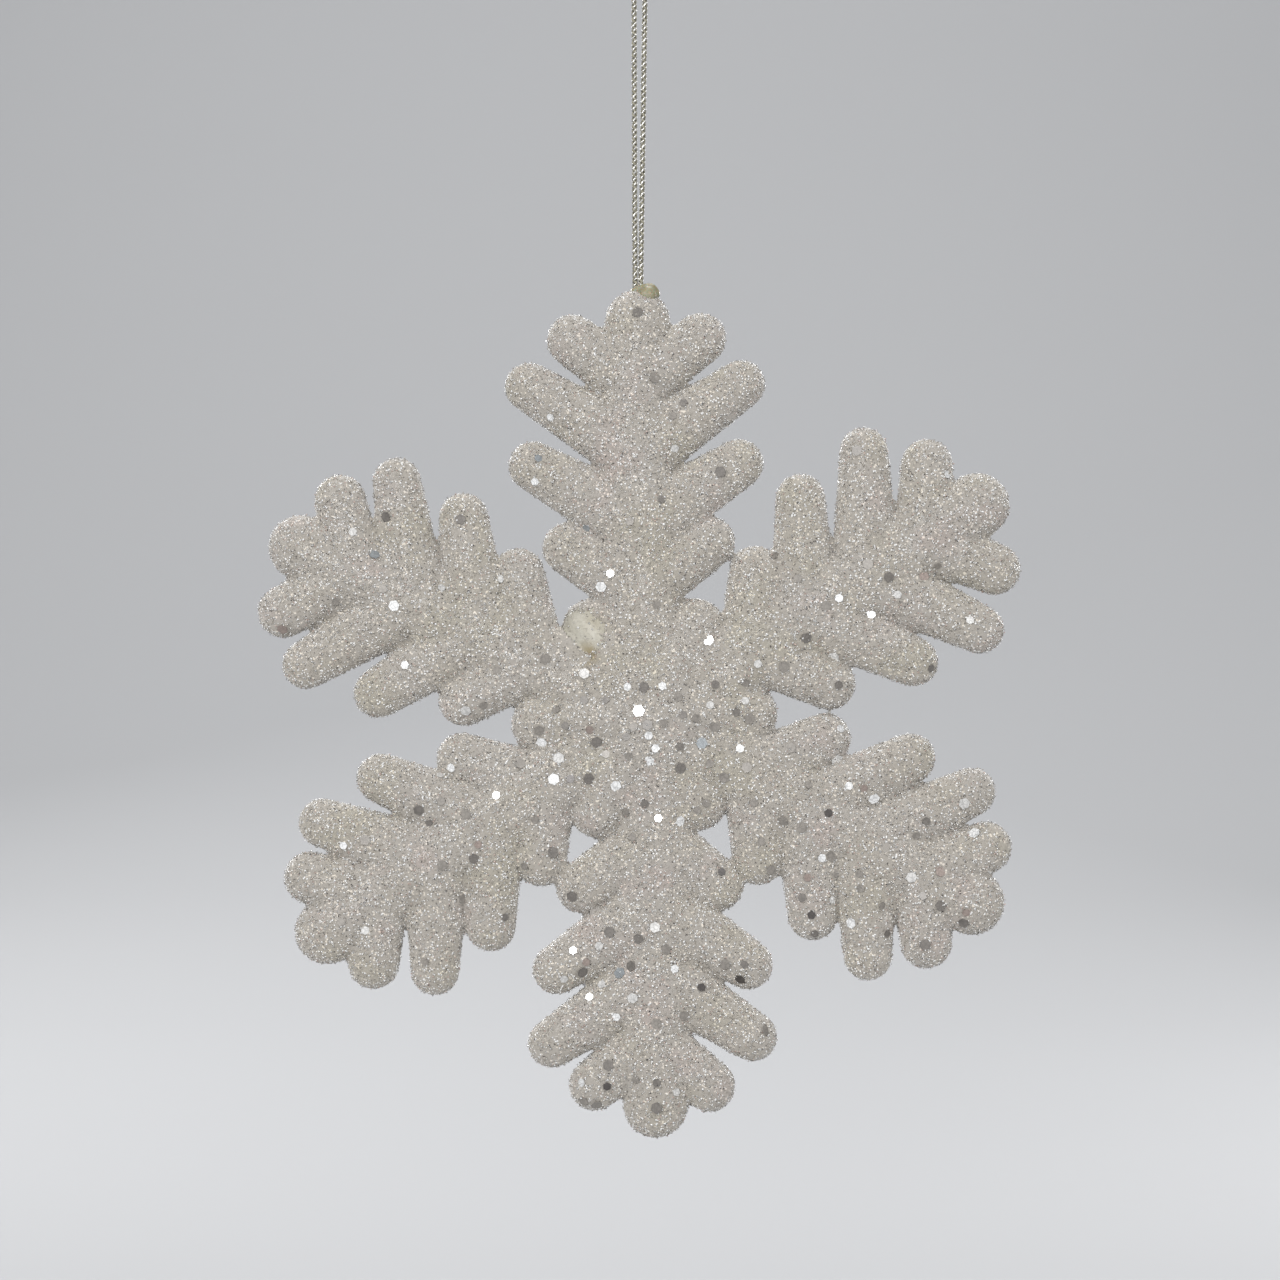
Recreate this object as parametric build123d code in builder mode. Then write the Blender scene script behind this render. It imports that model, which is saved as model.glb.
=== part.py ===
"""Puffy foam snowflake with a glitter coat, hanging on a thin cord loop.

Millimetres. +Z is up, the snowflake lies in the XZ plane and its front faces -Y.
The origin is the hang point: the middle of the wire hook that the loop goes over.
"""
from build123d import *
import math
import os

os.makedirs("parts", exist_ok=True)

# ---- driving dimensions ----

hub_across = 1.55  # from the hang point to the middle of the hub, to the right
hub_drop = 129.0  # from the hang point down to the middle of the hub

# angle in degrees from +X, reach to the tip, widening of the fingers, sideways set of the stem
arms = {
    "top": (91.3, 75.2, 1.03, -0.9),
    "upper_right": (32.2, 74.7, 1.02, 0.0),
    "lower_right": (-30.4, 72.2, 0.97, -0.6),
    "bottom": (-89.8, 74.7, 0.98, -0.8),
    "lower_left": (214.2, 74.7, 0.94, 0.5),
    "upper_left": (154.8, 73.9, 1.01, 0.5),
}

# the pattern of one arm, across its stem and along it from the hub's middle
design_reach = 74.6
tip_round = 5.6
stem_from = 9.0
stem_foot = 6.9  # half the stem's width at the hub
stem_top = 5.5  # and at its far end
stem_to = 66.0
tip_from = 50.0
# each pair of fingers: root along the stem, end across, end along, end radius
fingers = [
    (22.0, 12.1, 30.1, 4.4),
    (34.2, 17.3, 44.2, 4.2),
    (46.8, 18.0, 57.7, 4.1),
    (58.2, 10.7, 65.6, 4.4),
]
root_past = 1.3  # the fingers' roots lie this far past the middle of the stem
arm_thickness = 9.4
arm_edge = 3.95  # rounding of the arms' faces
notch_round = 0.2
smooth_corner = 172.0  # degrees between two edges; a sharper corner of the outline is rounded

hub_radius = 14.0
hub_thickness = 13.0
hub_edge = 4.7
hub_notch_round = 1.5
lobe_round = 5.0
lobe_reach = 23.0

coat = 0.35  # adhesive and fine glitter over the foam

bare_lobe = 128.0  # direction of the hub lobe that lost its glitter in front
bare_reach = 18.6
bare_radius = 4.3
smear_film = 0.14
# glue smears on the bare foam: across, height, radius
smears = [(-11.3, 10.9, 1.5), (-10.9, 14.6, 1.2)]

large_flake = 1.05  # corner radius of the hexagons
small_flake = 0.78
flake_thickness = 0.12
flake_lift = 0.06  # adhesive left under a flake at its middle
flake_field = 77.0  # half the square that places are tried in
large_tries = 70
small_tries = 90
large_offset = 0.5  # where the tries for each size start, as a share of the field
small_offset = 0.1
back_offset = 0.25  # and how far the back's tries are moved on
across_step = 0.7548776662  # steps of an even scatter: powers of the root of x^3 + x^2 = 1
height_step = 0.5698402910
flake_clearance = 2.6  # between the middles of two flakes, in large corner radii
flattest = 0.999  # share of a facing that points to the front on the flat of a face
least_facing = 0.55  # the same share under a flake, at least
least_alike = 0.93  # how alike the coat faces under a flake's middle and its corners

cord = 0.9
hook_wire = 1.0
exit_half = 0.5  # half the distance between the strands where they leave the snowflake
exit_across = -1.83  # from the hub's middle
exit_height = 76.6
tail_depth = 11.0
exit_gap = 0.75  # from the exit up to the lower end of the legs
bend_length = 6.0  # the part of the loop that stays on the hook
arc_share = 0.45  # of a straight run that each of its tangent arcs takes up

# the dab of glue on the tip: across, height and radius of its two ends
dab_left = (-2.05, 74.75, 1.15)
dab_right = (0.55, 74.65, 1.0)
plug_radius = 1.55
plug_depth = 12.2

towards_front = Vector(0, -1, 0)


# ---- places and outlines ----


def front(across, height, towards=0.0):
    """A point as the front view shows it, from the hub's middle."""
    return Vector(hub_across + across, -towards, height - hub_drop)


def arm_plane(arm):
    """The plane of one arm: x across its stem, y along it."""
    angle, _, _, shift = arms[arm]
    turn = math.radians(angle)
    across = Vector(math.sin(turn), 0, -math.cos(turn))
    return Plane(origin=front(0, 0) + across * shift, x_dir=across, z_dir=towards_front)


def arm_bars(arm):
    """The fingers of one arm as bars: start, end and radius, in the arm's own plane."""
    _, reach, spread, _ = arms[arm]
    stretch = reach / design_reach
    bars = []
    for root, across, along, radius in fingers:
        end = (across + radius) * spread - radius
        for side in (-1, 1):
            bars.append(((-side * root_past, root * stretch), (side * end, along * stretch), radius))
    return bars


def lobe_angles():
    """The hub's lobes stand halfway between neighbouring arms."""
    turns = sorted(angle % 360 for angle, *_ in arms.values())
    after = turns[1:] + [turns[0] + 360]
    return [(a + b) / 2 for a, b in zip(turns, after)]


def bar_outline(start, end, radius):
    """A bar with round ends, drawn into the sketch that is being made."""
    run = (end[0] - start[0], end[1] - start[1])
    with Locations(((start[0] + end[0]) / 2, (start[1] + end[1]) / 2)):
        SlotCenterToCenter(math.hypot(*run), 2 * radius, rotation=math.degrees(math.atan2(run[1], run[0])))


def inner_corners(face, beyond):
    """The sharp corners of an outline that lie further out than a distance from its origin."""
    found = []
    for vertex in face.vertices():
        here = Vector(vertex)
        leaving = []
        for edge in face.edges():
            if (edge @ 0 - here).length < 1e-5:
                leaving.append(edge % 0)
            elif (edge @ 1 - here).length < 1e-5:
                leaving.append((edge % 1) * -1)
        if here.length > beyond and leaving[0].get_angle(leaving[1]) < smooth_corner:
            found.append(vertex)
    return found


def swollen(sketch, plane, thickness, edge, name):
    """A plate of an outline with both its faces rounded over."""
    with BuildPart() as plate:
        with BuildSketch(plane):
            add(sketch)
        extrude(amount=thickness / 2, both=True)
        faces = plate.faces().sort_by(Axis.Y)
        fillet(faces[0].edges() + faces[-1].edges(), edge)
    plate.part.label = name
    return plate.part


def arm_solid(arm, inside=0.0):
    """One whole arm with its foot in the hub, or the same arm a thickness inside."""
    stretch = arms[arm][1] / design_reach
    with BuildSketch() as outline:
        with BuildLine():
            foot = stem_foot - inside
            top = stem_top - inside
            end = stem_to * stretch
            Polyline((-foot, stem_from), (foot, stem_from), (top, end), (-top, end), close=True)
        make_face()
        tip_end = design_reach * stretch - tip_round
        bar_outline((0, tip_from * stretch), (0, tip_end), tip_round - inside)
        for start, end, radius in arm_bars(arm):
            bar_outline(start, end, radius - inside)
        corners = inner_corners(outline.face(), stem_from + stem_foot)
        fillet(corners, notch_round if inside else notch_round / 2)
    return swollen(outline.sketch, arm_plane(arm), arm_thickness - 2 * inside, arm_edge - inside, arm)


def hub_solid(inside=0.0):
    """The hub: a swollen disc with six lobes."""
    with BuildSketch() as outline:
        Circle(hub_radius - inside)
        for angle in lobe_angles():
            turn = math.radians(angle)
            reach = lobe_reach - lobe_round
            bar_outline((0, 0), (reach * math.cos(turn), reach * math.sin(turn)), lobe_round - inside)
        fillet(inner_corners(outline.face(), 1.0), hub_notch_round + inside)
    plane = Plane(origin=front(0, 0), x_dir=(1, 0, 0), z_dir=towards_front)
    return swollen(outline.sketch, plane, hub_thickness - 2 * inside, hub_edge - inside, "hub")


def ball(middle, radius):
    """A ball that other pieces are cut with."""
    with BuildPart(Location(middle)) as solid:
        Sphere(radius)
    return solid.part


def round_rod(start, end, radius):
    """A straight rod with a ball at each end."""
    with BuildPart() as solid:
        with BuildSketch(Plane(origin=start, z_dir=end - start)):
            Circle(radius)
        extrude(amount=(end - start).length)
        with Locations(start, end):
            Sphere(radius)
    return solid.part


# ---- flakes ----


def front_bars():
    """Every bar of the snowflake in the front view: start, end, radius, half thickness and edge."""
    bars = []
    for arm in arms:
        plane = arm_plane(arm)
        stretch = arms[arm][1] / design_reach
        spine = ((0, stem_from), (0, design_reach * stretch - tip_round), (stem_foot + stem_top) / 2)
        for start, end, radius in arm_bars(arm) + [spine]:
            ends = [plane.from_local_coords((*point, 0)) for point in (start, end)]
            bars.append((*ends, radius, arm_thickness / 2, arm_edge))
    for angle in lobe_angles():
        turn = math.radians(angle)
        reach = lobe_reach - lobe_round
        end = front(reach * math.cos(turn), reach * math.sin(turn))
        bars.append((front(0, 0), end, lobe_round, hub_thickness / 2, hub_edge))
    bars.append((front(0, 0), front(0.01, 0), hub_radius, hub_thickness / 2, hub_edge))
    return bars


def coat_surface(point, bars):
    """How far the coat stands in front of a point, and which way it faces there.

    None off the coat, and None where the rounded edges of two bars run into each other.
    """
    hits = []
    for start, end, radius, half, edge in bars:
        run = end - start
        share = min(1.0, max(0.0, (point - start).dot(run) / run.dot(run)))
        away = point - (start + run * share)
        depth = radius - away.length
        if depth > 0:
            lean = max(0.0, 1 - depth / edge)
            rise = half - edge + edge * math.sqrt(1 - lean * lean)
            outward = away.normalized() * lean if away.length > 0.01 else Vector(0, 0, 0)
            hits.append((rise, outward + towards_front * math.sqrt(1 - lean * lean)))
    best = max(hits, key=lambda hit: hit[0], default=None)
    if len(hits) > 1 and best[1].dot(towards_front) < flattest:
        return None
    return best


def bare_middle(towards=0.0):
    """The middle of the hub lobe that lost its glitter."""
    turn = math.radians(bare_lobe)
    return front(bare_reach * math.cos(turn), bare_reach * math.sin(turn), towards)


def flake_places(tries, offset, corner, back, bars, taken):
    """Planes for flakes, spread evenly over one side of the coat and clear of each other."""
    bare = bare_middle()
    places = []
    for count in range(tries):
        across = flake_field * (2 * ((offset + count * across_step) % 1) - 1)
        height = flake_field * (2 * ((offset + count * height_step) % 1) - 1)
        point = front(across, height)
        found = coat_surface(point, bars)
        near_bare = (point - bare).length < bare_radius + 2 * corner
        crowded = any((point - other).length < flake_clearance * large_flake for other in taken)
        if found and found[1].dot(towards_front) > least_facing and not near_bare and not crowded:
            rise, facing = found
            sides = (Vector(1, 0, 0), Vector(-1, 0, 0), Vector(0, 0, 1), Vector(0, 0, -1))
            around = [point + side * corner for side in sides]
            rises = [coat_surface(other, bars) for other in around]
            if all(rises) and all(abs(other[1].dot(facing)) > least_alike for other in rises):
                taken.append(point)
                middle = point + towards_front * (rise + flake_lift)
                if back:
                    middle = Vector(middle.X, -middle.Y, middle.Z)
                    facing = Vector(facing.X, -facing.Y, facing.Z)
                places.append(Plane(origin=middle, z_dir=facing))
    return places


def flakes(places, corner):
    """Thin hexagons on a list of planes, as one group of separate solids."""
    with BuildPart() as group:
        with BuildSketch(*places):
            RegularPolygon(corner, 6)
        extrude(amount=flake_thickness)
    return group.part


# ---- cord ----


def cord_route():
    """The middle of the loop: up the left strand, over the hook and down the right strand."""
    half = (hook_wire + cord) / 2
    low = exit_height - hub_drop + exit_gap
    left_foot = Vector(hub_across + exit_across - exit_half, 0, low)
    right_foot = Vector(hub_across + exit_across + exit_half, 0, low)
    return [left_foot, Vector(-half, 0, half), Vector(half, 0, half), right_foot]


def cord_loop():
    """The tube of the whole loop, straight runs joined by tangent arcs."""
    route = cord_route()
    radii = []
    for before, corner, after in zip(route, route[1:], route[2:]):
        turn = (corner - before).get_angle(after - corner)
        shorter = min((corner - before).length, (after - corner).length)
        radii.append(arc_share * shorter / math.tan(math.radians(turn / 2)))
    print("cord arc radii", [round(radius, 2) for radius in radii])
    with BuildPart() as tube:
        with BuildLine() as path:
            FilletPolyline(*route, radius=radii)
        with BuildSketch(Plane(origin=path.line @ 0, z_dir=path.line % 0)):
            Circle(cord / 2)
        sweep()
    print("cord length", round(path.wires()[0].length, 2))
    return tube.part


# ---- pieces ----


def write(part, name):
    """Label a finished piece and write it."""
    part.label = name
    export_step(part, f"parts/{name}.step")


def make():
    """Build every piece and write it."""
    exit_point = front(exit_across, exit_height)
    strands = [Vector(side * exit_half, 0, 0) for side in (-1, 1)]

    with BuildPart() as cord_tails:
        for strand in strands:
            add(round_rod(exit_point + strand, exit_point + strand + Vector(0, 0, -tail_depth), cord / 2))
    write(cord_tails.part, "cord_tails")

    with BuildPart() as glue_dab:
        plug_top = front(exit_across, dab_left[1])
        add(round_rod(plug_top, plug_top + Vector(0, 0, -plug_depth), plug_radius))
        add(round_rod(front(*dab_left[:2]), front(*dab_right[:2]), dab_right[2]))
        with Locations(front(*dab_left[:2])):
            Sphere(dab_left[2])
        add(cord_tails.part, mode=Mode.SUBTRACT)
    write(glue_dab.part, "glue_dab")
    plug_hole = glue_dab.part + cord_tails.part

    coats = {arm: arm_solid(arm) for arm in arms}
    foams = {arm: arm_solid(arm, coat) for arm in arms}
    hub_coat = hub_solid()
    hub_foam = hub_solid(coat)

    with BuildPart() as glue_smears:
        add(hub_solid(coat - smear_film))
        add(hub_foam, mode=Mode.SUBTRACT)
        spots = [ball(front(across, height, hub_thickness / 2), radius) for across, height, radius in smears]
        add(spots[0] + spots[1], mode=Mode.INTERSECT)
    write(glue_smears.part, "glue_smears")

    write(hub_foam, "foam_hub")
    with BuildPart() as coat_hub:
        add(hub_coat)
        add([hub_foam] + list(foams.values()), mode=Mode.SUBTRACT)
        add(ball(bare_middle(hub_thickness / 2), bare_radius), mode=Mode.SUBTRACT)
    write(coat_hub.part, "glitter_coat_hub")

    for arm in arms:
        with BuildPart() as foam_arm:
            add(foams[arm])
            add(hub_foam, mode=Mode.SUBTRACT)
            if arm == "top":
                add(plug_hole, mode=Mode.SUBTRACT)
        write(foam_arm.part, f"foam_arm_{arm}")
        with BuildPart() as coat_arm:
            add(coats[arm])
            add([foams[arm], hub_coat], mode=Mode.SUBTRACT)
            if arm == "top":
                add(plug_hole, mode=Mode.SUBTRACT)
        write(coat_arm.part, f"glitter_coat_arm_{arm}")

    bars = front_bars()
    for side, back in (("front", False), ("back", True)):
        taken = []
        moved = back_offset * back
        large = flake_places(large_tries, large_offset + moved, large_flake, back, bars, taken)
        small = flake_places(small_tries, small_offset + moved, small_flake, back, bars, taken)
        print("flakes", side, len(large), len(small))
        write(flakes(large, large_flake), f"large_flakes_{side}")
        write(flakes(small, small_flake), f"small_flakes_{side}")

    loop = cord_loop()
    bend_plane = Plane.XY.offset(-bend_length)
    with BuildPart() as loop_top:
        add(loop)
        split(bisect_by=bend_plane, keep=Keep.TOP)
    write(loop_top.part, "cord_loop_top")
    with BuildPart() as legs:
        add(loop)
        split(bisect_by=bend_plane, keep=Keep.BOTTOM)
    left, right = legs.part.solids().sort_by(Axis.X)
    for solid, name in ((left, "cord_left_leg"), (right, "cord_right_leg")):
        with BuildPart() as leg:
            add(solid)
        write(leg.part, name)


if __name__ == "__main__":
    make()
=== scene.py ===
"""Looks for the glittered foam snowflake: swollen foam, glitter coat, flakes, glue and cord loop."""
import bpy
import math
import numpy as np
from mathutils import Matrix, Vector


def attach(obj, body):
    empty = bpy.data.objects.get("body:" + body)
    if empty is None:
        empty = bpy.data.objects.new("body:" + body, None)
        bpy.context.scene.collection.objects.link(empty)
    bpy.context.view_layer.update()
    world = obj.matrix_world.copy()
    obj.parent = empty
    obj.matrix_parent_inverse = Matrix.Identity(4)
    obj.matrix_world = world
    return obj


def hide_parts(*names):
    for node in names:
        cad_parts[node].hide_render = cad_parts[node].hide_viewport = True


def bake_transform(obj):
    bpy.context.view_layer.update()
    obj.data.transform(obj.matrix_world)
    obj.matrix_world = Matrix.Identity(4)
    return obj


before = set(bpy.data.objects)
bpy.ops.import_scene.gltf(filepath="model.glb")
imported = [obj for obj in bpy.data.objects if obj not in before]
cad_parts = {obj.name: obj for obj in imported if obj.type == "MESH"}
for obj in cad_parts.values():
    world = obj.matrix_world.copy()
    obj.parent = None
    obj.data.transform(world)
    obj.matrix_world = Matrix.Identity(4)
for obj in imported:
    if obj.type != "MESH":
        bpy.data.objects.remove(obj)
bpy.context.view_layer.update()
MM = 0.001

# ---- the design, in millimetres, as the front view shows it from the hub's middle ----

HUB = np.array([1.55, 0.0, -129.0])
# angle in degrees from +X, reach to the tip, widening of the fingers, sideways set of the stem
ARMS = {
    "top": (91.3, 75.2, 1.03, -0.9),
    "upper_right": (32.2, 74.7, 1.02, 0.0),
    "lower_right": (-30.4, 72.2, 0.97, -0.6),
    "bottom": (-89.8, 74.7, 0.98, -0.8),
    "lower_left": (214.2, 74.7, 0.94, 0.5),
    "upper_left": (154.8, 73.9, 1.01, 0.5),
}
DESIGN_REACH = 74.6
TIP_BALL = 5.7
TIP_FROM = 56
STEM_BALL = 5.3
# the stem's two bars run from here to here along it, this far to each side of its middle
STEM_ALONG = (10, 62)
STEM_ASIDE = (1.9, 0.5)
ROOT_PAST = 0.6  # the fingers' roots lie this far past the middle of the stem
ROOT_FOLLOWS = 0.7  # how much of a finger's move along the arm its root takes part in
# root along the stem, root ball, end across, end along, end ball
FINGERS = [
    (21.4, 5.7, 12.1, 30.1, 4.5),
    (32.9, 6.1, 17.3, 44.2, 4.3),
    (45.5, 6.1, 18.0, 57.7, 4.2),
    (57.2, 5.2, 10.7, 65.6, 4.5),
]
# the mould is hand cut: how far each finger's end is moved along its arm, and how much longer it is,
# from the hub outwards; first the anticlockwise side, then the clockwise side
UNEVEN = {
    "top": (
        [(-0.5, 0.0), (0.0, 0.5), (0.4, 0.2), (0.5, -0.2)],
        [(0.0, -0.2), (-0.4, 0.0), (0.0, 0.0), (0.3, 0.5)],
    ),
    "upper_right": (
        [(-0.6, -1.0), (-1.0, 0.3), (-0.6, 0.7), (-0.3, 0.2)],
        [(0.0, 0.0), (0.5, -0.7), (0.0, 0.0), (0.0, -0.2)],
    ),
    "lower_right": (
        [(0.0, 0.0), (1.2, -0.3), (0.4, -0.7), (-0.1, -0.8)],
        [(0.6, 1.1), (0.3, -0.2), (-0.7, 0.4), (-0.7, 0.2)],
    ),
    "bottom": (
        [(-0.1, -0.3), (0.0, -0.1), (-0.7, 0.0), (0.0, -0.6)],
        [(0.3, 0.9), (0.7, 0.2), (0.3, 0.5), (-0.3, 0.1)],
    ),
    "lower_left": (
        [(0.0, 0.0), (-0.2, -0.2), (-1.1, 0.1), (-0.8, -0.3)],
        [(1.4, 0.5), (1.1, 0.8), (0.6, -0.5), (0.0, -0.4)],
    ),
    "upper_left": (
        [(0.8, -0.3), (1.1, -0.2), (1.4, 0.0), (1.2, 0.6)],
        [(1.6, 0.1), (0.7, -0.3), (0.7, -0.3), (0.5, -0.2)],
    ),
}
# how far each arm's tip leans to its clockwise side, and how much longer it is
TIPS = {
    "top": (0.6, 0.0),
    "upper_right": (-0.4, 0.0),
    "lower_right": (0.2, -0.3),
    "bottom": (-0.3, 0.0),
    "lower_left": (-0.3, -0.5),
    "upper_left": (0.2, 0.0),
}
# how much longer each hub lobe is, anticlockwise from the one between the upper right and top arms
LOBES = [-0.3, 0.5, 1.2, 0.9, -0.3, -0.2]
STEM_DEPTH = 5.3
HUB_BALL = 6.6
HUB_DOME = 10.5
HUB_REACH = 14.2  # the hub's coat goes at least this far out
LOBE_BALL = 5.1
LOBE_FROM = 6
LOBE_REACH = 23.0
FLATNESS = 0.93
FACE_DEPTH = 5.0
SKIN_VOXEL = 0.45
SKIN_SMOOTHING = 6
WAVE = 0.12  # slow unevenness of the hand-finished faces
THIN_COAT = 0.18
SAND = 0.055  # height of the coat's sandy unevenness

BARE = np.array([-12.4, 14.4])
BARE_RADIUS = 4.3
# brown stains: across, height, radius, strength
STAINS = [(-10.8, 11.0, 1.9, 0.95), (-12.6, 11.4, 0.9, 0.5), (-9.3, 16.4, 2.4, 0.3)]

LARGE_FLAKE = 1.03
SMALL_FLAKE = 0.78
FLAKE_THICKNESS = 0.06
FLAKE_SPACING = 1.9
FLAKE_COUNT = 400
FLAKE_TRIES_PER_MM2 = 0.35
FLAKE_FACING = 0.72  # least share of the skin's facing to the front or back under a flake
FLAKE_LEAN = 0.1
FLAKE_PROUD = (0.12, 0.2)
GRAINS_PER_MM2 = 5.0
GRAIN_PROUD = (0.04, 0.16)
# a few grains stand prouder still
PROUDER_BY, PROUDER_SHARE = 0.18, 0.12
GRAIN_DEPTH = 1.2  # how far a grain's point is sunk, in half diagonals
SIDE_LEAN = 1.2  # how much more the grains lean on the sides of the arms
# the grains thin out this far round the bare patch, are few this far inside it, and shun the flakes
FADING, FADING_SHARE = 2.4, 0.45
BARE_INSIDE, STRAY_SHARE = -0.7, 0.07
FLAKE_CLEAR, ON_FLAKE_SHARE = 0.86, 0.3

# where the cord leaves the tip: across and height
EXIT = np.array([-1.83, 76.6])
EXIT_HALF = 0.5
LOOP_HALF = 0.95
LOOP_BEND = 6.0
TAIL_LENGTH = 10.0

# the lumps of the glue dab: across, height, towards the back, radius
GLUE_LUMPS = [
    (-2.3, 74.9, -0.1, 0.95),
    (-1.6, 74.9, -0.1, 1.3),
    (-0.8, 74.9, -0.3, 1.5),
    (0.1, 74.95, -0.4, 1.6),
    (0.9, 74.6, -0.5, 1.15),
    (-0.2, 74.3, -1.3, 1.6),
    (-1.2, 74.1, 0.5, 1.9),
]
PLUG_TOP, PLUG_FOOT = 74.4, 66.0
PLUG_RADII = (1.3, 1.2)
GLUE_VOXEL = 0.16
GLUE_SMOOTHING = 22

rng = np.random.default_rng(11)


# ---- mesh helpers ----


def new_object(name, verts, faces, smooth=True):
    """A mesh object from millimetre points and face lists."""
    mesh = bpy.data.meshes.new(name)
    mesh.from_pydata((np.asarray(verts) * MM).tolist(), [], [list(f) for f in faces])
    mesh.validate()
    if smooth:
        mesh.shade_smooth()
    obj = bpy.data.objects.new(name, mesh)
    bpy.context.scene.collection.objects.link(obj)
    return obj


def fast_object(name, verts, faces):
    """A flat-shaded object, as new_object, for many faces of as many corners given as one array."""
    faces = np.asarray(faces, np.int32)
    mesh = bpy.data.meshes.new(name)
    mesh.vertices.add(len(verts))
    mesh.vertices.foreach_set("co", (np.asarray(verts) * MM).astype(np.float32).ravel())
    mesh.loops.add(faces.size)
    mesh.loops.foreach_set("vertex_index", faces.ravel())
    mesh.polygons.add(len(faces))
    mesh.polygons.foreach_set("loop_start", np.arange(len(faces), dtype=np.int32) * faces.shape[1])
    mesh.update(calc_edges=True)
    obj = bpy.data.objects.new(name, mesh)
    bpy.context.scene.collection.objects.link(obj)
    return obj


def arrays(obj):
    """Vertices in millimetres, vertex normals and triangles of an object's mesh."""
    mesh = obj.data
    co = np.zeros(len(mesh.vertices) * 3, np.float32)
    mesh.vertices.foreach_get("co", co)
    normal = np.zeros_like(co)
    mesh.vertices.foreach_get("normal", normal)
    mesh.calc_loop_triangles()
    tri = np.zeros(len(mesh.loop_triangles) * 3, np.int32)
    mesh.loop_triangles.foreach_get("vertices", tri)
    return co.reshape(-1, 3) / MM, normal.reshape(-1, 3), tri.reshape(-1, 3)


def finished_mesh(obj):
    """Apply an object's modifiers."""
    graph = bpy.context.evaluated_depsgraph_get()
    mesh = bpy.data.meshes.new_from_object(obj.evaluated_get(graph))
    obj.modifiers.clear()
    obj.data = mesh


def front(across, height):
    """A point of the front view as a row-frame point in millimetres."""
    return HUB + np.array([across, 0.0, height])


# ---- the foam's shape ----


def arm_point(arm, across, along):
    """A point of an arm's design, moved and stretched as that arm is, as a row-frame point."""
    angle, reach, _, shift = ARMS[arm]
    turn = math.radians(angle)
    x = across + shift
    y = along * reach / DESIGN_REACH
    return front(y * math.cos(turn) + x * math.sin(turn), y * math.sin(turn) - x * math.cos(turn))


def arm_bars(arm):
    """Tapered bars of one arm: start, end and their ball radii."""
    _, reach, spread, _ = ARMS[arm]
    bars = []
    for side, uneven in zip((-1, 1), UNEVEN[arm]):
        foot, top = (arm_point(arm, side * x, y) for x, y in zip(STEM_ASIDE, STEM_ALONG))
        bars.append((foot, top, STEM_BALL, STEM_BALL - 0.1))
        for (root, root_ball, across, along, ball), (moved, longer) in zip(FINGERS, uneven):
            start = arm_point(arm, -side * ROOT_PAST, root + ROOT_FOLLOWS * moved)
            end = arm_point(arm, side * ((across + ball) * spread - ball + longer), along + moved)
            bars.append((start, end, root_ball, ball))
    lean, longer = TIPS[arm]
    tip = DESIGN_REACH - TIP_BALL * DESIGN_REACH / reach + longer
    bars.append((arm_point(arm, 0, TIP_FROM), arm_point(arm, lean, tip), STEM_BALL, TIP_BALL))
    return bars


def hub_bars():
    """Bars of the hub's lobes, one in each gap between the arms, and of its domed middle."""
    turns = sorted(angle % 360 for angle, *_ in ARMS.values())
    bars = []
    for low, high, longer in zip(turns, turns[1:] + [turns[0] + 360], LOBES):
        turn = math.radians((low + high) / 2)
        reach = LOBE_REACH - LOBE_BALL + longer
        end = front(reach * math.cos(turn), reach * math.sin(turn))
        start = front(LOBE_FROM * math.cos(turn), LOBE_FROM * math.sin(turn))
        bars.append((start, end, HUB_BALL, LOBE_BALL))
    bars.append((front(-0.5, 0), front(0.5, 0), HUB_DOME, HUB_DOME))
    return bars


def bar_mesh(start, end, start_ball, end_ball, deepest=20.0, segments=28, cap=7):
    """Rings of points round a tapered bar no deeper than a limit, and its faces."""
    run = end - start
    length = np.linalg.norm(run)
    u = run / length
    v = np.array([-u[2], 0.0, u[0]])
    w = np.array([0.0, 1.0, 0.0])
    slope = math.asin((start_ball - end_ball) / length)
    # centre, half width and half depth of each ring
    rings = []
    halves = ((start, start_ball, -math.pi / 2, slope), (end, end_ball, slope, math.pi / 2))
    for centre, ball, low, high in halves:
        depth = min(ball, deepest)
        for turn in np.linspace(low, high, cap + 1):
            centre_here = centre + u * ball * math.sin(turn)
            rings.append((centre_here, ball * math.cos(turn), depth * math.cos(turn)))
    around = np.linspace(0, 2 * math.pi, segments, endpoint=False)
    verts = []
    for centre, radius, depth in rings[1:-1]:
        verts.extend(centre + radius * math.cos(a) * v + depth * math.sin(a) * w for a in around)
    verts.extend([rings[0][0], rings[-1][0]])
    count = len(rings) - 2
    faces = []
    for ring in range(count - 1):
        for i in range(segments):
            j = (i + 1) % segments
            a, b = ring * segments, (ring + 1) * segments
            faces.append((a + i, a + j, b + j, b + i))
    first, last = count * segments, count * segments + 1
    for i in range(segments):
        j = (i + 1) % segments
        faces.append((first, j, i))
        faces.append((last, (count - 1) * segments + i, (count - 1) * segments + j))
    return verts, faces


def bar_depth(points, bars):
    """How deep points in the front view lie inside the nearest of some bars; negative outside."""
    best = np.full(len(points), -1e9)
    for start, end, start_ball, end_ball in bars:
        a, run = start[[0, 2]], (end - start)[[0, 2]]
        share = np.clip(((points - a) @ run) / (run @ run), 0, 1)
        away = np.linalg.norm(points - a - share[:, None] * run, axis=1)
        best = np.maximum(best, start_ball + (end_ball - start_ball) * share - away)
    return best


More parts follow.
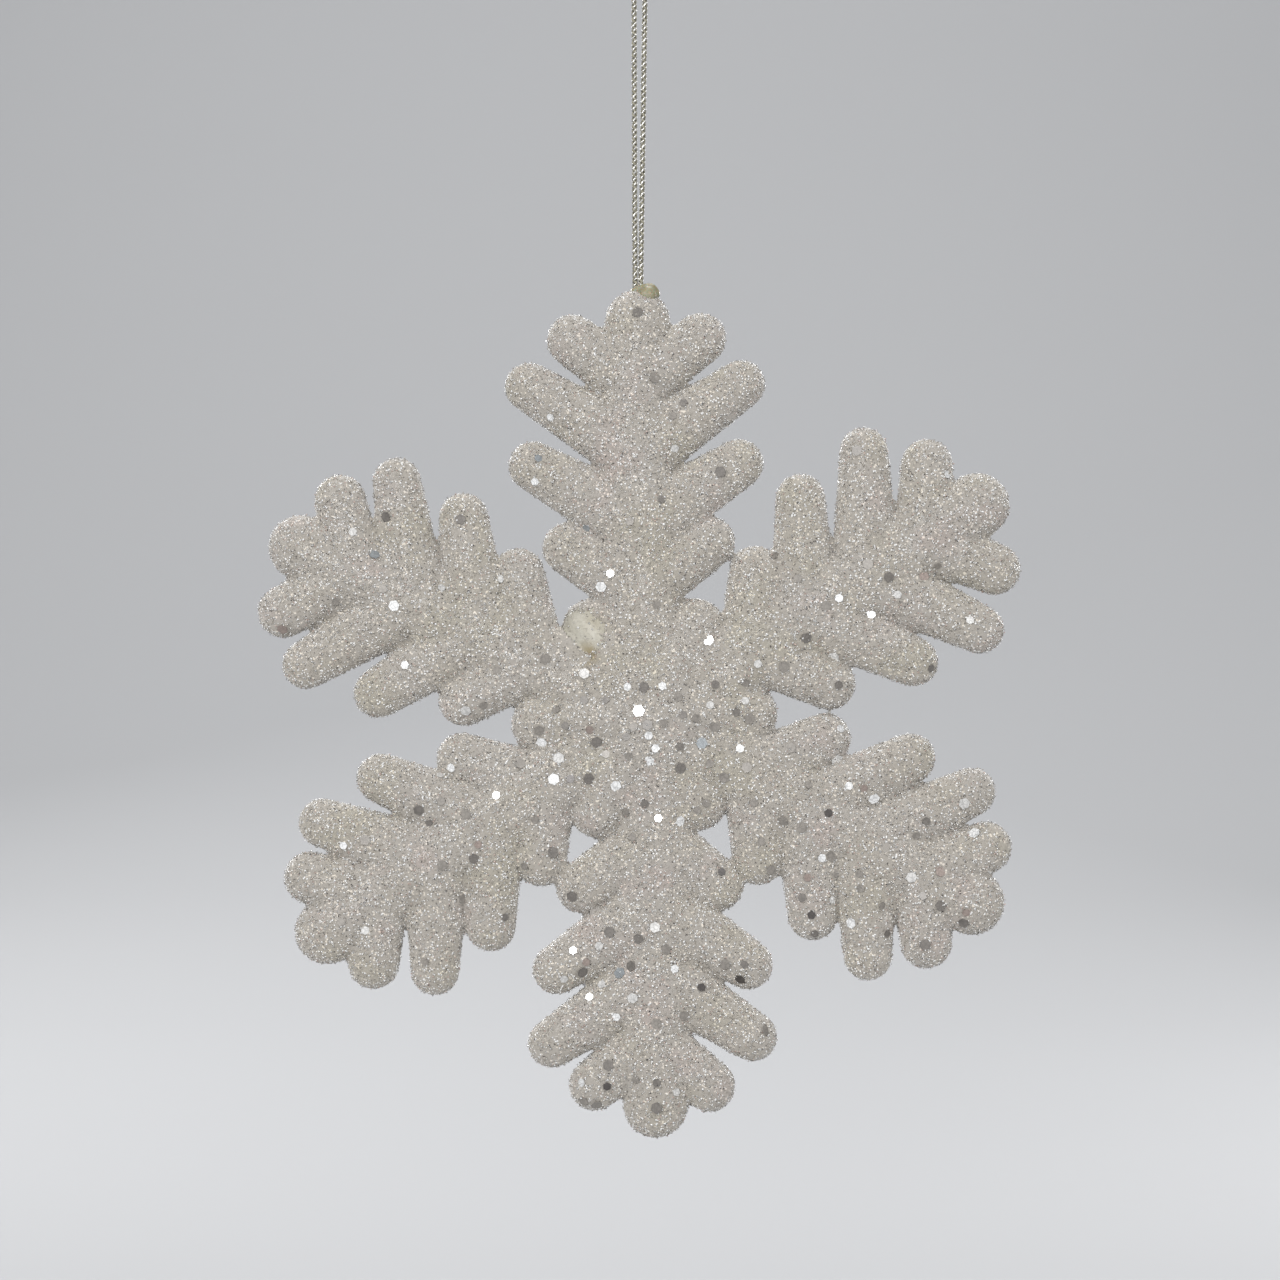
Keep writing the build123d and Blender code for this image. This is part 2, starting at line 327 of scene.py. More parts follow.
def whole_skin():
    """One smooth closed mesh of the whole moulding with its coat."""
    verts, faces = [], []
    bars = [(*bar, HUB_BALL) for bar in hub_bars()]
    bars += [(*bar, STEM_DEPTH) for arm in ARMS for bar in arm_bars(arm)]
    for bar in bars:
        more, more_faces = bar_mesh(*bar)
        faces.extend([tuple(i + len(verts) for i in f) for f in more_faces])
        verts.extend(more)
    verts = np.array(verts)
    verts[:, 1] *= FLATNESS
    # remeshed at a thousand times its size, so that a voxel is a whole fraction of a unit
    obj = new_object("skin", verts / MM, faces)
    remesh = obj.modifiers.new("remesh", "REMESH")
    remesh.mode = "VOXEL"
    remesh.voxel_size = SKIN_VOXEL
    smooth = obj.modifiers.new("smooth", "SMOOTH")
    smooth.factor = 0.5
    smooth.iterations = SKIN_SMOOTHING
    finished_mesh(obj)
    co, _, _ = arrays(obj)
    co = co * MM
    wave = WAVE * np.sin(co[:, 0] * 0.31 + 1.0) * np.sin(co[:, 2] * 0.27 + 0.5)
    co[:, 1] += wave * np.sign(co[:, 1])
    obj.data.vertices.foreach_set("co", (co * MM).astype(np.float32).ravel())
    obj.data.update()
    return obj


def cut_out(source, keep, name, lift=0.0, sand=0.0):
    """A new object from the faces of a mesh that a mask keeps, moved out evenly and like sand."""
    co, normal, _ = arrays(source)
    grit = np.random.default_rng(5).normal(size=len(co)).clip(-2, 2)
    co = co + normal * (lift + sand * grit)[:, None]
    polys = [tuple(p.vertices) for p in source.data.polygons]
    chosen = [polys[i] for i in np.flatnonzero(keep)]
    used = np.unique(np.concatenate([np.array(p) for p in chosen]))
    place = np.full(len(co), -1)
    place[used] = np.arange(len(used))
    return new_object(name, co[used], [tuple(place[list(p)]) for p in chosen])


def wobble(points, size, seed):
    """A smooth uneven value between about -1 and 1 for each point, with waves about size long."""
    picker = np.random.default_rng(seed)
    value = np.zeros(len(points))
    for _ in range(7):
        direction = picker.normal(size=points.shape[1])
        direction *= 2 * math.pi / size / np.linalg.norm(direction) * picker.uniform(0.7, 1.6)
        value += np.sin(points @ direction + picker.uniform(0, 6.28))
    return value / 3.0


# ---- materials ----


def plain(name, color, roughness, metallic=0.0, **sockets):
    """A material with its values on the shader's own sockets, for pieces of many tiny faces."""
    material = bpy.data.materials.new(name)
    material.use_nodes = True
    shader = material.node_tree.nodes["Principled BSDF"]
    shader.inputs["Base Color"].default_value = (*color, 1)
    shader.inputs["Roughness"].default_value = roughness
    shader.inputs["Metallic"].default_value = metallic
    for socket, value in sockets.items():
        shader.inputs[socket.replace("_", " ")].default_value = value
    return material


# colours of the bare foam, for a ramp
CREAM = [(0.3, (0.44, 0.418, 0.35)), (0.7, (0.48, 0.458, 0.395))]


class Nodes:
    """Short names for making and linking the nodes of one material."""

    def __init__(self, name):
        self.material = bpy.data.materials.new(name)
        self.material.use_nodes = True
        self.tree = self.material.node_tree
        self.shader = self.tree.nodes["Principled BSDF"]
        self.place = self.make("ShaderNodeTexCoord").outputs["Object"]

    def make(self, kind, **values):
        node = self.tree.nodes.new(kind)
        for name, value in values.items():
            setattr(node, name, value)
        return node

    def link(self, output, target):
        self.tree.links.new(output, target)

    def noise(self, scale, detail=3.0):
        node = self.make("ShaderNodeTexNoise")
        node.inputs["Scale"].default_value = scale / MM
        node.inputs["Detail"].default_value = detail
        self.link(self.place, node.inputs["Vector"])
        return node

    def cells(self, scale):
        node = self.make("ShaderNodeTexVoronoi")
        node.inputs["Scale"].default_value = scale / MM
        self.link(self.place, node.inputs["Vector"])
        return node

    def ramp(self, value, stops, sharp=False):
        node = self.make("ShaderNodeValToRGB")
        node.color_ramp.interpolation = "CONSTANT" if sharp else "LINEAR"
        elements = node.color_ramp.elements
        while len(elements) < len(stops):
            elements.new(0.5)
        for element, (at, color) in zip(elements, stops):
            element.position = at
            element.color = (*color, 1)
        self.link(value, node.inputs["Fac"])
        return node.outputs["Color"]

    def mix(self, factor, a, b, blend="MIX"):
        node = self.make("ShaderNodeMix", data_type="RGBA", blend_type=blend)
        for socket, value in ((node.inputs[0], factor), (node.inputs[6], a), (node.inputs[7], b)):
            if isinstance(value, bpy.types.NodeSocket):
                self.link(value, socket)
            else:
                socket.default_value = value if isinstance(value, float) else (*value, 1)
        return node.outputs[2]

    def math(self, operation, *values):
        node = self.make("ShaderNodeMath", operation=operation)
        for socket, value in zip(node.inputs, values):
            if isinstance(value, bpy.types.NodeSocket):
                self.link(value, socket)
            else:
                socket.default_value = value
        return node.outputs[0]

    def bump(self, height, strength, distance):
        node = self.make("ShaderNodeBump")
        node.inputs["Strength"].default_value = strength
        node.inputs["Distance"].default_value = distance * MM
        self.link(height, node.inputs["Height"])
        return node.outputs["Normal"]


def stained(n, clean):
    """A clean colour with soft brown stains where glue has dried, worn into it unevenly."""
    ragged = n.make("ShaderNodeVectorMath", operation="MULTIPLY_ADD")
    n.link(n.noise(0.7, 4).outputs["Color"], ragged.inputs[0])
    ragged.inputs[1].default_value = (2.4 * MM, 0, 2.4 * MM)
    n.link(n.place, ragged.inputs[2])
    color = clean
    for x, z, radius, strength in STAINS:
        away = n.make("ShaderNodeVectorMath", operation="DISTANCE")
        n.link(ragged.outputs[0], away.inputs[0])
        spot = front(x, z) + (1.2, 0, 1.2)
        away.inputs[1].default_value = (spot[0] * MM, -FACE_DEPTH * MM, spot[2] * MM)
        near = n.math("DIVIDE", away.outputs["Value"], radius * 1.5 * MM)
        amount = n.ramp(near, [(0.1, (strength, strength, strength)), (0.95, (0, 0, 0))])
        color = n.mix(amount, color, (0.24, 0.185, 0.085))
    return color


def coat_material(name, marks=False):
    """Adhesive full of fine glitter: speckled, slightly mottled, rough with small facets; its brightest
    specks are painted glints.
    """
    n = Nodes(name)
    mottle = n.ramp(n.noise(0.10, 4).outputs["Fac"], [
        (0.32, (0.42, 0.392, 0.335)), (0.46, (0.43, 0.40, 0.357)),
        (0.58, (0.43, 0.403, 0.367)), (0.72, (0.447, 0.398, 0.365))])
    grain = n.cells(3.6)
    pick = n.make("ShaderNodeSeparateColor")
    n.link(grain.outputs["Color"], pick.inputs[0])
    # grey and white specks of glitter; the brightest, lighter than white, are painted glints
    specks_and_painted_glints = n.ramp(pick.outputs[0], [
        (0.0, (0.50, 0.49, 0.48)), (0.025, (0.93, 0.92, 0.91)), (0.12, (0.98, 0.98, 0.97)),
        (0.50, (1.0, 1.0, 1.0)), (0.93, (1.9, 1.9, 1.88))], sharp=True)
    color = n.mix(0.8, stained(n, mottle) if marks else mottle, specks_and_painted_glints, "MULTIPLY")
    n.link(color, n.shader.inputs["Base Color"])
    n.link(n.math("MULTIPLY_ADD", pick.outputs[1], 0.45, 0.5), n.shader.inputs["Roughness"])
    n.link(n.bump(grain.outputs["Distance"], 0.3, 0.12), n.shader.inputs["Normal"])
    n.shader.inputs["Diffuse Roughness"].default_value = 1.0
    n.shader.inputs["Coat Weight"].default_value = 0.1
    n.shader.inputs["Sheen Weight"].default_value = 0.25
    n.shader.inputs["Sheen Roughness"].default_value = 0.4
    return n.material


def foam_material():
    """Cream moulded foam with small pores, painted darker in them as shade, stained where glue has
    dried on it.
    """
    n = Nodes("foam")
    base = n.ramp(n.noise(0.35, 3).outputs["Fac"], CREAM)
    pores = n.cells(1.3)
    # the pores' hollows painted darker: painted shade
    pore_shade = n.ramp(pores.outputs["Distance"], [
        (0.0, (0.45, 0.40, 0.30)), (0.09, (0.75, 0.72, 0.66)), (0.16, (1, 1, 1))])
    n.link(n.mix(1.0, stained(n, base), pore_shade, "MULTIPLY"), n.shader.inputs["Base Color"])
    rough = n.ramp(n.noise(1.2, 2).outputs["Fac"], [
        (0.3, (0.45, 0.45, 0.45)), (0.7, (0.75, 0.75, 0.75))])
    n.link(rough, n.shader.inputs["Roughness"])
    n.link(n.bump(pores.outputs["Distance"], 0.5, 0.2), n.shader.inputs["Normal"])
    return n.material


def film_material(name, color, roughness, metallic, crazed):
    """A glitter flake's film: mottled, and crazed with fine dark lines."""
    n = Nodes(name)
    dull = tuple(0.84 * c for c in color)
    bright = tuple(min(1.0, 1.1 * c) for c in color)
    tone = n.ramp(n.noise(0.9, 3).outputs["Fac"], [(0.3, dull), (0.5, color), (0.7, bright)])
    lines = n.make("ShaderNodeTexVoronoi", feature="DISTANCE_TO_EDGE")
    lines.inputs["Scale"].default_value = 1.5 / MM
    n.link(n.place, lines.inputs["Vector"])
    dark = (1 - crazed,) * 3
    craze = n.ramp(lines.outputs["Distance"], [(0.0, dark), (0.05, dark), (0.11, (1, 1, 1))])
    n.link(n.mix(1.0, tone, craze, "MULTIPLY"), n.shader.inputs["Base Color"])
    n.shader.inputs["Roughness"].default_value = roughness
    n.shader.inputs["Metallic"].default_value = metallic
    return n.material


def thread_material(name, dark, light, roughness, metallic):
    """A ply of the cord: its colour changes from fibre to fibre."""
    n = Nodes(name)
    color = n.ramp(n.noise(2.2, 3).outputs["Fac"], [(0.35, dark), (0.65, light)])
    n.link(color, n.shader.inputs["Base Color"])
    n.link(n.bump(n.noise(5.0, 2).outputs["Fac"], 0.3, 0.04), n.shader.inputs["Normal"])
    n.shader.inputs["Roughness"].default_value = roughness
    n.shader.inputs["Metallic"].default_value = metallic
    return n.material


# ---- pieces ----


def snowflake_piece(obj, *nodes, slot):
    """Have a piece ride the snowflake, in place of the CAD nodes named."""
    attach(obj, "snowflake")
    if nodes:
        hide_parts(*nodes)
    return obj


def make_coats(skin):
    """The coat in seven pieces, open over the bare patch, and the foam hub under it."""
    mesh = skin.data
    centre = np.zeros(len(mesh.polygons) * 3, np.float32)
    mesh.polygons.foreach_get("center", centre)
    centre = centre.reshape(-1, 3) / MM
    flat = centre[:, [0, 2]]
    local = flat - HUB[[0, 2]]
    reach = np.linalg.norm(local, axis=1)
    depths = np.stack([bar_depth(flat, arm_bars(arm)) for arm in ARMS])
    hub = (reach < HUB_REACH) | (bar_depth(flat, hub_bars()) > depths.max(0))
    nearest = depths.argmax(0)
    bare_edge = BARE_RADIUS + 0.3 + 0.4 * wobble(local, 3.2, 3) + 0.35 * wobble(local, 1.1, 4)
    bare = (np.linalg.norm(local - BARE, axis=1) < bare_edge) & (centre[:, 1] < 0)
    coat = coat_material("glitter_coat")
    for index, arm in enumerate(ARMS):
        piece = cut_out(skin, ~hub & (nearest == index), f"glitter_coat_arm_{arm}", sand=SAND)
        piece.data.materials.append(coat)
        snowflake_piece(piece, f"glitter_coat_arm_{arm}", f"foam_arm_{arm}", slot="glitter_coat")
    piece = cut_out(skin, hub & ~bare, "glitter_coat_hub", sand=SAND)
    shell = piece.modifiers.new("shell", "SOLIDIFY")
    shell.thickness = THIN_COAT * MM
    shell.offset = -1
    finished_mesh(piece)
    piece.data.materials.append(coat_material("glitter_coat_marked", marks=True))
    snowflake_piece(piece, "glitter_coat_hub", slot="glitter_coat")
    foam = cut_out(skin, hub, "foam_hub", lift=-THIN_COAT)
    foam.data.materials.append(foam_material())
    snowflake_piece(foam, "foam_hub", slot="foam")


def scatter(skin, per_mm2):
    """Points spread evenly over the skin, with their normals."""
    co, normal, tri = arrays(skin)
    a, b, c = co[tri[:, 0]], co[tri[:, 1]], co[tri[:, 2]]
    area = np.linalg.norm(np.cross(b - a, c - a), axis=1) / 2
    count = int(area.sum() * per_mm2)
    chosen = rng.choice(len(tri), size=count, p=area / area.sum())
    r1, r2 = np.sqrt(rng.random(count)), rng.random(count)
    weights = np.stack([1 - r1, r1 * (1 - r2), r1 * r2], 1)
    point = (co[tri[chosen]] * weights[:, :, None]).sum(1)
    facing = (normal[tri[chosen]] * weights[:, :, None]).sum(1)
    return point, facing / np.linalg.norm(facing, axis=1)[:, None]


def in_bare_patch(point, margin):
    """Whether points lie on the front within the bare patch's radius and a margin."""
    local = point[:, [0, 2]] - HUB[[0, 2]]
    return (np.linalg.norm(local - BARE, axis=1) < BARE_RADIUS + margin) & (point[:, 1] < 0)


def frames(facing, tilt):
    """Tilted normals, and two directions across each, for small pieces lying on the skin."""
    lean = facing + rng.normal(size=facing.shape) * tilt[:, None]
    w = lean / np.linalg.norm(lean, axis=1)[:, None]
    side = rng.normal(size=facing.shape)
    u = np.cross(w, side)
    u /= np.linalg.norm(u, axis=1)[:, None]
    return u, np.cross(w, u), w


def pick_flakes(skin):
    """Places for the hexagonal flakes: most on the hub, the bottom and the right, none on bare foam."""
    point, facing = scatter(skin, FLAKE_TRIES_PER_MM2)
    across, height = (point - HUB)[:, 0], (point - HUB)[:, 2]
    wish = 0.12 + 0.8 * (np.hypot(across, height) < 20) * (height < 8)
    wish += 0.25 * (across > 15) * (height < 30)
    wish += 0.32 * (height < -20) * (across > -16) + 0.08 * (across < -16)
    open_face = np.abs(facing[:, 1]) > FLAKE_FACING
    good = open_face & (rng.random(len(point)) < wish) & ~in_bare_patch(point, 1.0)
    chosen = []
    for index in np.flatnonzero(good):
        if all(np.linalg.norm(point[index] - point[other]) > FLAKE_SPACING for other in chosen):
            chosen.append(index)
        if len(chosen) >= FLAKE_COUNT:
            break
    chosen = np.array(chosen)
    return point[chosen], facing[chosen]


def hexagons(name, point, facing, corner, materials, shares):
    """Thin hexagonal flakes as one mesh, with its materials dealt out in the given shares."""
    count = len(point)
    u, v, w = frames(facing, np.full(count, FLAKE_LEAN))
    middle = point + facing * rng.uniform(*FLAKE_PROUD, count)[:, None]
    radius = corner * rng.uniform(0.94, 1.04, count)
    turns = np.linspace(0, 2 * math.pi, 6, endpoint=False)
    verts = []
    for height in (0.0, FLAKE_THICKNESS):
        for turn in turns:
            corners = radius[:, None] * (math.cos(turn) * u + math.sin(turn) * v)
            verts.append(middle + corners + w * height)
    verts = np.stack(verts, 1).reshape(-1, 3)
    faces = []
    for flake in range(count):
        base = 12 * flake
        faces.append([base + i for i in (5, 4, 3, 2, 1, 0)])
        faces.append([base + 6 + i for i in range(6)])
        for i in range(6):
            j = (i + 1) % 6
            faces.append([base + i, base + j, base + 6 + j, base + 6 + i])
    obj = new_object(name, verts, faces, smooth=False)
    for material in materials:
        obj.data.materials.append(material)
    dealt = rng.choice(len(materials), size=count, p=shares)
    obj.data.polygons.foreach_set("material_index", np.repeat(dealt, 8).astype(np.int32))
    return obj


def make_flakes(skin):
    """All hexagonal flakes; returns where they lie."""
    point, facing = pick_flakes(skin)
    materials = [
        # silver flakes in mostly diffuse white: their white is partly painted glint, standing in for
        # the light they mirror
        film_material("flake_silver_painted_glint", (1.0, 1.0, 0.99), 0.2, 0.35, 0.30),
        film_material("flake_pearl", (0.70, 0.69, 0.67), 0.3, 0.3, 0.25),
        film_material("flake_grey", (0.19, 0.174, 0.158), 0.3, 0.1, 0.2),
        film_material("flake_clear", (0.28, 0.258, 0.232), 0.3, 0.1, 0.2),
        film_material("flake_dark", (0.095, 0.085, 0.08), 0.25, 0.2, 0.2),
        film_material("flake_blue", (0.35, 0.375, 0.39), 0.2, 0.3, 0.2),
        film_material("flake_pink", (0.33, 0.27, 0.24), 0.25, 0.2, 0.2),
    ]
    shares = [0.22, 0.11, 0.25, 0.27, 0.05, 0.03, 0.07]
    large = np.arange(len(point)) % 5 < 2
    for side, chosen in (("front", facing[:, 1] < 0), ("back", facing[:, 1] > 0)):
        for size, corner, mask in (("large", LARGE_FLAKE, large), ("small", SMALL_FLAKE, ~large)):
            pick = chosen & mask
            name = f"{size}_flakes_{side}"
            obj = hexagons(name, point[pick], facing[pick], corner, materials, shares)
            snowflake_piece(obj, name, slot="flake")
    return point, np.where(large, LARGE_FLAKE, SMALL_FLAKE)


def make_grains(skin, flakes, corners):
    """Fine glitter all over the coat, a piece for each finish and side."""
    point, facing = scatter(skin, GRAINS_PER_MM2)
    fading = in_bare_patch(point, FADING) & (rng.random(len(point)) < FADING_SHARE)
    keep = ~(in_bare_patch(point, BARE_INSIDE) | fading) | (rng.random(len(point)) < STRAY_SHARE)
    # worked out block by block, to spare memory
    near = np.zeros(len(point), bool)
    block = 20000
    for start in range(0, len(point), block):
        away = np.linalg.norm(point[start:start + block, None] - flakes[None], axis=2)
        near[start:start + block] = (away < FLAKE_CLEAR * corners[None]).any(1)
    near &= rng.random(len(point)) > ON_FLAKE_SHARE
    point, facing = point[keep & ~near], facing[keep & ~near]
    # name, material, share, lean, half diagonals
    finishes = [
        ("pearl", plain("grain_pearl", (0.46, 0.43, 0.385), 0.5, Diffuse_Roughness=1.0),
         0.26, 0.3, (0.11, 0.18)),
        ("cream", plain("grain_cream", (0.41, 0.375, 0.325), 0.5, Diffuse_Roughness=1.0),
         0.20, 0.3, (0.11, 0.18)),
        # white grains, whose full white also stands in for the glitter's glints: painted glints
        ("white", plain("grain_white_painted_glint", (1.0, 0.995, 0.98), 0.25), 0.17, 0.3, (0.15, 0.24)),
        ("mirror", plain("grain_mirror", (0.95, 0.94, 0.92), 0.3, 0.75), 0.25, 0.45, (0.14, 0.22)),
        ("grey", plain("grain_grey", (0.11, 0.10, 0.10), 0.3, 0.2), 0.07, 0.2, (0.10, 0.15)),
        ("pink", plain("grain_pink", (0.72, 0.56, 0.50), 0.3, 0.4), 0.05, 0.4, (0.12, 0.19)),
    ]
    dealt = rng.choice(len(finishes), size=len(point), p=[f[2] for f in finishes])
    for index, (name, material, _, lean, sizes) in enumerate(finishes):
        for side, on_side in (("front", facing[:, 1] <= 0), ("back", facing[:, 1] > 0)):
            chosen = (dealt == index) & on_side
            full_name = f"glitter_{name}_{side}"
            obj = grains(full_name, point[chosen], facing[chosen], lean, sizes)
            obj.data.materials.append(material)
            snowflake_piece(obj, slot="glitter_coat")


def grains(name, point, facing, lean, sizes):
    """Tiny square grains with a flat face that leans its own way, and a point sunk in the coat."""
    count = len(point)
    sideways = 1 - np.abs(facing[:, 1])
    u, v, w = frames(facing, rng.uniform(0.08, lean, count) * (1 + SIDE_LEAN * sideways))
    size = rng.uniform(*sizes, count)[:, None]
    proud = rng.uniform(*GRAIN_PROUD, count) + PROUDER_BY * (rng.random(count) < PROUDER_SHARE)
    middle = point + facing * proud[:, None]
    corners = [u * size, v * size, -u * size, -v * size, -facing * size * GRAIN_DEPTH]
    verts = np.stack([middle + c for c in corners], 1).reshape(-1, 3)
    pattern = np.array([(0, 1, 2), (0, 2, 3), (1, 0, 4), (2, 1, 4), (3, 2, 4), (0, 3, 4)])
    faces = (pattern[None] + 5 * np.arange(count)[:, None, None]).reshape(-1, 3)
    return fast_object(name, verts, faces)


# ---- cord ----


def cord_points():
    """The loop's middle line: a NURBS spline over the route's points, read back as points in metres."""
    x, z = HUB[0] + EXIT[0], HUB[2] + EXIT[1]
    top = LOOP_HALF
    route = [
        (x - EXIT_HALF, 0, z),
        (-LOOP_HALF, 0, top - LOOP_BEND),
        (-LOOP_HALF, 0, top),
        (LOOP_HALF, 0, top),
        (LOOP_HALF, 0, top - LOOP_BEND),
        (x + EXIT_HALF, 0, z),
    ]
    curve = bpy.data.curves.new("route", "CURVE")
    curve.dimensions = "3D"
    spline = curve.splines.new("NURBS")
    spline.points.add(len(route) - 1)
    for point, place in zip(spline.points, route):
        point.co = (place[0] * MM, place[1] * MM, place[2] * MM, 1)
    spline.order_u = 3
    spline.use_endpoint_u = True
    spline.resolution_u = 60
    holder = bpy.data.objects.new("route", curve)
    bpy.context.scene.collection.objects.link(holder)
    mesh = bpy.data.meshes.new_from_object(holder.evaluated_get(bpy.context.evaluated_depsgraph_get()))
    points = np.array([v.co for v in mesh.vertices])
    bpy.data.objects.remove(holder)
    return points


def even(points, step):
    """Points a step apart along a line of points."""
    lengths = np.concatenate([[0], np.cumsum(np.linalg.norm(np.diff(points, axis=0), axis=1))])
    at = np.linspace(0, lengths[-1], int(lengths[-1] / step) + 1)
    return np.stack([np.interp(at, lengths, points[:, k]) for k in range(3)], 1), at


def braid(name, points, materials, plies=4, ply_radius=0.22, orbit=0.28, pitch=2.1, sides=7):
    """Plies wound round a line of points in millimetres, half of them one way and half the other."""
    line, at = even(points, 0.12)
    tangent = np.gradient(line, axis=0)
    tangent /= np.linalg.norm(tangent, axis=1)[:, None]
    side = np.array([0.0, 1.0, 0.0])
    across = np.cross(tangent, side)
    verts, faces, index = [], [], []
    around = np.linspace(0, 2 * math.pi, sides, endpoint=False)
    count = len(line)
    for ply in range(plies):
        way = 1 if ply % 2 else -1
        turn = way * 2 * math.pi * at / pitch + 2 * math.pi * ply / plies
        weave = orbit * (1 + 0.22 * np.sin(2 * turn + ply))
        out = np.cos(turn)[:, None] * across + np.sin(turn)[:, None] * side
        centre = line + out * weave[:, None]
        along = np.gradient(centre, axis=0)
        along /= np.linalg.norm(along, axis=1)[:, None]
        e1 = np.cross(along, out)
        e1 /= np.linalg.norm(e1, axis=1)[:, None]
        e2 = np.cross(along, e1)
        wide = np.cos(around)[None, :, None] * e1[:, None]
        deep = 0.8 * np.sin(around)[None, :, None] * e2[:, None]
        verts.append((centre[:, None] + ply_radius * (wide + deep)).reshape(-1, 3))
        base = ply * count * sides
        for ring in range(count - 1):
            a = base + ring * sides
            b = a + sides
            for i in range(sides):
                j = (i + 1) % sides
                faces.append((a + i, a + j, b + j, b + i))
        faces.append([base + i for i in reversed(range(sides))])
        faces.append([base + (count - 1) * sides + i for i in range(sides)])
        index.extend([ply % len(materials)] * ((count - 1) * sides + 2))
    obj = new_object(name, np.concatenate(verts), faces)
    for material in materials:
        obj.data.materials.append(material)
    obj.data.polygons.foreach_set("material_index", np.array(index, np.int32))
    return obj


def cord_materials():
    """Silver thread and dull thread, dealt to the plies in turn."""
    return [
        thread_material("cord_silver", (0.42, 0.41, 0.39), (0.78, 0.77, 0.74), 0.25, 0.9),
        thread_material("cord_thread", (0.20, 0.185, 0.135), (0.36, 0.34, 0.26), 0.5, 0.15),
    ]


def make_cord():
    """The loop and its two tails inside the tip."""
    points = cord_points()
    materials = cord_materials()
    loop = braid("cord_loop", points / MM, materials)
    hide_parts("cord_loop_top", "cord_left_leg", "cord_right_leg")
    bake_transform(loop)
    tails = []
    for side in (-1, 1):
        top = front(EXIT[0] + side * EXIT_HALF, EXIT[1] + 0.15)
        line = np.linspace(top, top - (0, 0, TAIL_LENGTH), 60)
        tails.append(braid(f"tail_{side}", line, materials))
    tail = tails[0]
    bpy.ops.object.select_all(action="DESELECT")
    for obj in tails:
        obj.select_set(True)
    bpy.context.view_layer.objects.active = tail
    bpy.ops.object.join()
    tail.name = "cord_tails"
    snowflake_piece(tail, "cord_tails", slot="cord")


# ---- glue ----


def make_glue():
    """The dab of hot glue on the tip, lumpy and half clear, with its plug in the hole."""
    bars = []
    for x, z, y, radius in GLUE_LUMPS:
        bars.append((front(x, z) + (0, y, 0), front(x + 0.1, z) + (0, y, 0), radius, radius))
    bars.append((front(EXIT[0], PLUG_TOP), front(EXIT[0], PLUG_FOOT), *PLUG_RADII))
    verts, faces = [], []
    for bar in bars:
        more, more_faces = bar_mesh(*bar, segments=20, cap=6)
        faces.extend([tuple(i + len(verts) for i in f) for f in more_faces])
        verts.extend(more)
    obj = new_object("glue_dab", np.array(verts) / MM, faces)
    remesh = obj.modifiers.new("remesh", "REMESH")
    remesh.mode = "VOXEL"
    remesh.voxel_size = GLUE_VOXEL
    smooth = obj.modifiers.new("smooth", "SMOOTH")
    smooth.factor = 0.5
    smooth.iterations = GLUE_SMOOTHING
    finished_mesh(obj)
    co, _, _ = arrays(obj)
    obj.data.vertices.foreach_set("co", (co * MM * MM).astype(np.float32).ravel())
    obj.data.update()
    obj.data.shade_smooth()
    n = Nodes("hot_glue")
    tint = n.ramp(n.noise(0.6, 3).outputs["Fac"], [
        (0.3, (0.27, 0.25, 0.155)), (0.7, (0.35, 0.33, 0.235))])
    n.link(tint, n.shader.inputs["Base Color"])
    n.shader.inputs["Roughness"].default_value = 0.28
    n.shader.inputs["Subsurface Weight"].default_value = 0.35
    n.shader.inputs["Subsurface Scale"].default_value = 0.001
    n.link(n.bump(n.noise(0.9, 2).outputs["Fac"], 0.2, 0.15), n.shader.inputs["Normal"])
    obj.data.materials.append(n.material)
    snowflake_piece(obj, "glue_dab", slot="hot_glue")


def make_smears(skin):
    """Thin brown films where glue has dried on the bare foam."""
    mesh = skin.data
    centre = np.zeros(len(mesh.polygons) * 3, np.float32)
    mesh.polygons.foreach_get("center", centre)
    centre = centre.reshape(-1, 3) / MM
    local = (centre - HUB)[:, [0, 2]]
    keep = np.zeros(len(centre), bool)
    for x, z, radius, _ in STAINS:
        edge = radius * (0.8 + 0.35 * wobble(local, 1.6, 8))
        keep |= (np.linalg.norm((local - (x, z)) * (1.0, 0.8), axis=1) < edge) & (centre[:, 1] < 0)
    obj = cut_out(skin, keep, "glue_smears", lift=-THIN_COAT + 0.04)
    n = Nodes("dried_glue")
    base = n.ramp(n.noise(0.35, 3).outputs["Fac"], CREAM)
    n.link(stained(n, base), n.shader.inputs["Base Color"])
    n.shader.inputs["Roughness"].default_value = 0.35
    obj.data.materials.append(n.material)
    snowflake_piece(obj, "glue_smears", slot="dried_glue")


# ---- stage, light and camera ----


def stage():
    """A pale floor that sweeps up into a pale wall far behind."""
    wide, near, far, bend, high = 9.0, -9.0, 2.2, 1.6, 5.0
    floor = -0.32
    profile = [(near, floor), (far - bend, floor)]
    for turn in np.linspace(0, math.pi / 2, 16)[1:]:
        profile.append((far - bend + bend * math.sin(turn), floor + bend - bend * math.cos(turn)))
    profile.append((far, high))
    verts = [(x / MM, y / MM, z / MM) for y, z in profile for x in (-wide, wide)]
    faces = [(2 * i, 2 * i + 1, 2 * i + 3, 2 * i + 2) for i in range(len(profile) - 1)]
    obj = new_object("sweep", np.array(verts), faces)
    obj.data.materials.append(plain("sweep_paper", (0.50, 0.505, 0.515), 0.9))


